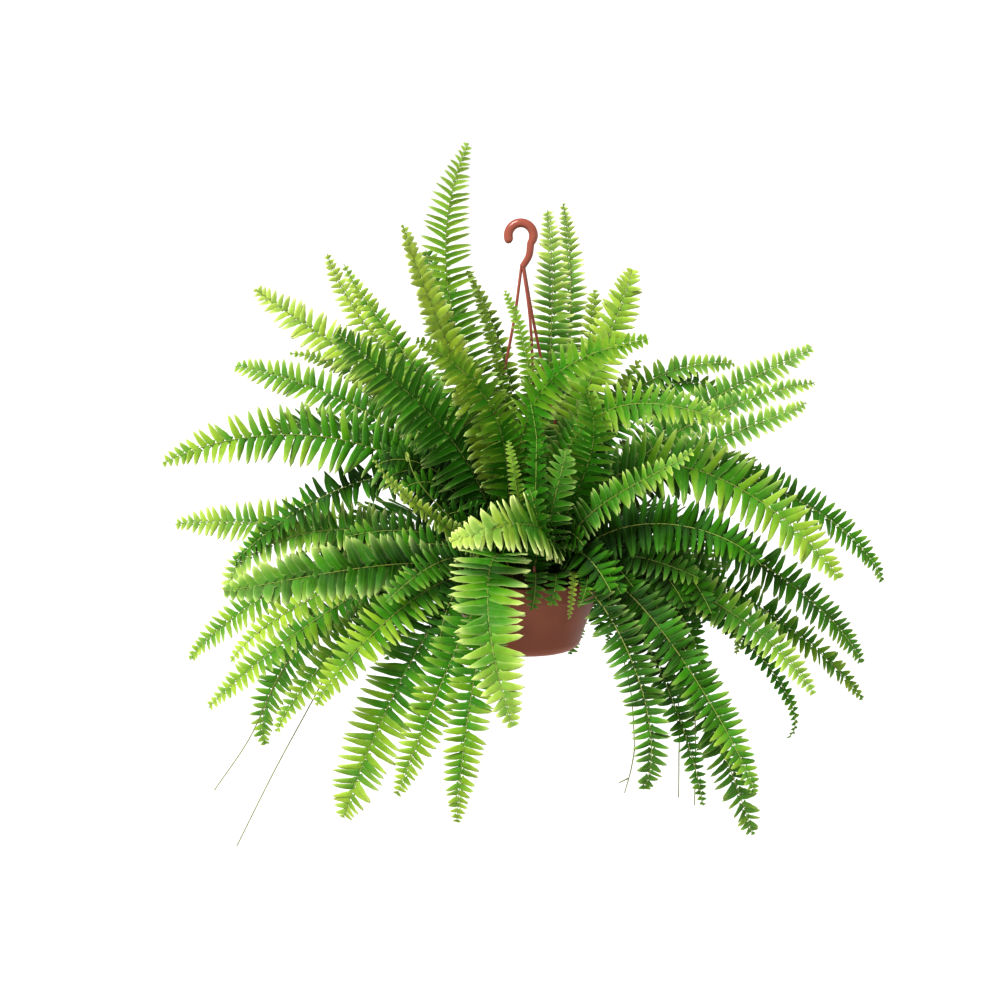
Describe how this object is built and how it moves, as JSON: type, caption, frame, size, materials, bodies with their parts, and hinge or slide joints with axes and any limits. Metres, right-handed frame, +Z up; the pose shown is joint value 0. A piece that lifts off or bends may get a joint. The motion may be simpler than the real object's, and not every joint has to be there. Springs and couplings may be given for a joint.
{
  "type": "potted fern",
  "caption": "Fern with long arching pinnate fronds in a round plastic pot that hangs by thin strands from a hook.",
  "frame": {"origin": "where the inside top of the hook bears on the rail that carries it", "axes": "+Z up; -Y towards the viewer, the side on which one of the three strands stands; +X to the right"},
  "size_m": [0.8072, 0.6046, 0.77],
  "materials": {
    "pot": "satin",
    "hanger": "satin",
    "soil": "matte",
    "frond": "satin"
  },
  "bodies": {
    "root": {"pot": "pot", "soil": "soil", "hanger": "hanger", "frond_top_1": "frond", "frond_top_2": "frond", "frond_top_3": "frond", "frond_top_4": "frond", "frond_top_5": "frond", "frond_top_6": "frond", "frond_top_7": "frond", "frond_right_1": "frond", "frond_right_2": "frond", "frond_right_3": "frond", "frond_right_4": "frond", "frond_right_5": "frond", "frond_right_6": "frond", "frond_right_7": "frond", "frond_right_8": "frond", "frond_right_9": "frond", "frond_right_10": "frond", "frond_right_11": "frond", "frond_right_12": "frond", "frond_right_13": "frond", "frond_right_14": "frond", "frond_right_15": "frond", "frond_right_16": "frond", "frond_right_17": "frond", "frond_front_1": "frond", "frond_front_2": "frond", "frond_front_3": "frond", "frond_front_4": "frond", "frond_front_5": "frond", "frond_front_6": "frond", "frond_left_1": "frond", "frond_left_2": "frond", "frond_left_3": "frond", "frond_left_4": "frond", "frond_left_5": "frond", "frond_left_6": "frond", "frond_left_7": "frond", "frond_left_8": "frond", "frond_left_9": "frond", "frond_left_10": "frond", "frond_left_11": "frond", "frond_left_12": "frond", "frond_left_13": "frond", "frond_left_14": "frond", "frond_left_15": "frond", "frond_left_16": "frond", "frond_left_17": "frond", "frond_left_18": "frond", "frond_back_1": "frond", "frond_back_2": "frond", "frond_back_3": "frond", "frond_back_4": "frond", "frond_back_5": "frond", "frond_back_6": "frond", "frond_back_7": "frond", "frond_back_8": "frond", "frond_back_9": "frond"}
  },
  "joints": []
}
